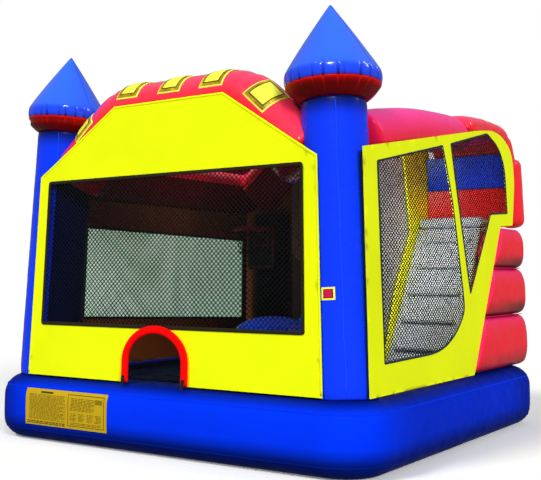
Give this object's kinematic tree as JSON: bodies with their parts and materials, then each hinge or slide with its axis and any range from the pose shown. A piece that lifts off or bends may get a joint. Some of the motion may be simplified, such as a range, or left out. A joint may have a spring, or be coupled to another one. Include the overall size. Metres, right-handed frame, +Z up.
{
  "type": "inflatable bounce house",
  "caption": "Castle-shaped inflatable bounce house with net walls, turrets, an inside climb and slide, and a blower joined by a fabric sleeve.",
  "frame": {"origin": "centre of the inflated base's underside, on the ground", "axes": "+X right along the front wall, +Y from the front wall to the rear, +Z up"},
  "size_m": [4.5216, 5.338, 4.0738],
  "materials": {
    "vinyl_blue": "gloss PVC-coated fabric, bright blue",
    "vinyl_red": "gloss PVC-coated fabric, red",
    "vinyl_yellow": "gloss PVC-coated fabric, lemon yellow",
    "vinyl_grey": "PVC-coated fabric, light grey",
    "vinyl_gold": "printed vinyl patch, gold brick",
    "net_black": "knotted black safety net",
    "binding_dark": "dark binding tape",
    "webbing_black": "black webbing",
    "print_ochre": "printed vinyl label",
    "zip_black": "nylon coil zipper",
    "sleeve_blue": "light coated fabric",
    "steel": "zinc-plated steel",
    "blower_shell": "moulded polyethylene, charcoal",
    "blower_yellow": "moulded plastic",
    "motor_metal": "cast aluminium, painted grey",
    "rubber": "black rubber",
    "switch_black": "moulded plastic",
    "rocker_red": "moulded plastic",
    "hoop_mix": "vinyl tube and net"
  },
  "bodies": {
    "house": {"base_ring": "vinyl_blue", "blower_handle": "rubber", "blower_housing": "blower_shell", "blower_motor": "motor_metal", "blower_outlet": "blower_yellow", "blower_stand": "blower_yellow", "bounce_floor": "vinyl_blue", "buckle_frame": "steel", "climb_ramp": "vinyl_grey", "climb_rungs": "vinyl_grey", "column_rear": "vinyl_blue", "divider_frame": "vinyl_yellow", "divider_panel": "vinyl_grey", "door_arch": "vinyl_red", "floor_baffles": "vinyl_grey", "front_beam": "vinyl_red", "front_wall_panel": "vinyl_yellow", "front_window_net": "net_black", "gold_bricks": "vinyl_gold", "hood": "vinyl_red", "hoop": "hoop_mix", "hoop_board": "vinyl_yellow", "inflation_sleeve": "sleeve_blue", "inlet_grille": "blower_yellow", "left_beam": "vinyl_red", "left_wall_panel": "vinyl_yellow", "left_window_net": "net_black", "platform": "vinyl_grey", "platform_bands": "vinyl_red", "popup_pillar": "vinyl_blue", "printed_labels": "print_ochre", "rear_beam": "vinyl_red", "rear_wall_panel": "vinyl_yellow", "rear_window_net": "net_black", "right_beam": "vinyl_red", "right_wall_panel": "vinyl_yellow", "right_window_nets": "net_black", "roof_cover": "vinyl_red", "side_stack": "vinyl_red", "sleeve_strap": "webbing_black", "slide_bed": "vinyl_grey", "slide_bolster": "vinyl_blue", "slide_wall": "vinyl_yellow", "switch_box": "switch_black", "tower_front_left": "vinyl_blue", "tower_front_right": "vinyl_blue", "turret_collars": "vinyl_red", "turret_cones": "vinyl_blue", "webbing_loops": "webbing_black", "window_bindings": "binding_dark", "zipper_tape": "zip_black"},
    "impeller": {"impeller": "motor_metal"},
    "rocker": {"rocker": "rocker_red"},
    "zipper_slider": {"zipper_slider": "steel"},
    "zipper_flap": {"zipper_flap": "vinyl_blue"},
    "buckle_lever": {"buckle_lever": "steel"},
    "d_ring_rear_left": {"d_ring_rear_left": "steel"},
    "d_ring_rear_right": {"d_ring_rear_right": "steel"},
    "d_ring_left_front": {"d_ring_left_front": "steel"},
    "d_ring_left_rear": {"d_ring_left_rear": "steel"}
  },
  "joints": [
    {"name": "impeller_spin", "type": "hinge", "parent": "house", "child": "impeller", "pos_m": [-1.2, 3.01, 0.245], "axis": [1, 0, 0], "continuous": true},
    {"name": "rocker_tilt", "type": "hinge", "parent": "house", "child": "rocker", "pos_m": [-1.183, 2.845, 0.494], "axis": [0, 1, 0], "range_deg": [-18, 0]},
    {"name": "zipper_slide", "type": "slide", "parent": "house", "child": "zipper_slider", "axis": [0, -1, 0], "range_m": [0, 0.64]},
    {"name": "flap_swing", "type": "hinge", "parent": "house", "child": "zipper_flap", "pos_m": [-2.269, 0.1, 0.38], "axis": [0, 1, 0], "range_deg": [0, 150]},
    {"name": "buckle_swing", "type": "hinge", "parent": "house", "child": "buckle_lever", "pos_m": [-1.212, 2.711, 0.516], "axis": [0, -1, 0], "range_deg": [0, 110]},
    {"name": "d_ring_rear_left_swing", "type": "hinge", "parent": "house", "child": "d_ring_rear_left", "pos_m": [-1.75, 2.134, 0.3], "axis": [1, 0, 0], "range_deg": [-5, 110]},
    {"name": "d_ring_rear_right_swing", "type": "hinge", "parent": "house", "child": "d_ring_rear_right", "pos_m": [1.5, 2.134, 0.3], "axis": [1, 0, 0], "range_deg": [-5, 110]},
    {"name": "d_ring_left_front_swing", "type": "hinge", "parent": "house", "child": "d_ring_left_front", "pos_m": [-2.264, -1.35, 0.3], "axis": [0, 1, 0], "range_deg": [-5, 110]},
    {"name": "d_ring_left_rear_swing", "type": "hinge", "parent": "house", "child": "d_ring_left_rear", "pos_m": [-2.264, 1.45, 0.3], "axis": [0, 1, 0], "range_deg": [-5, 110]}
  ]
}
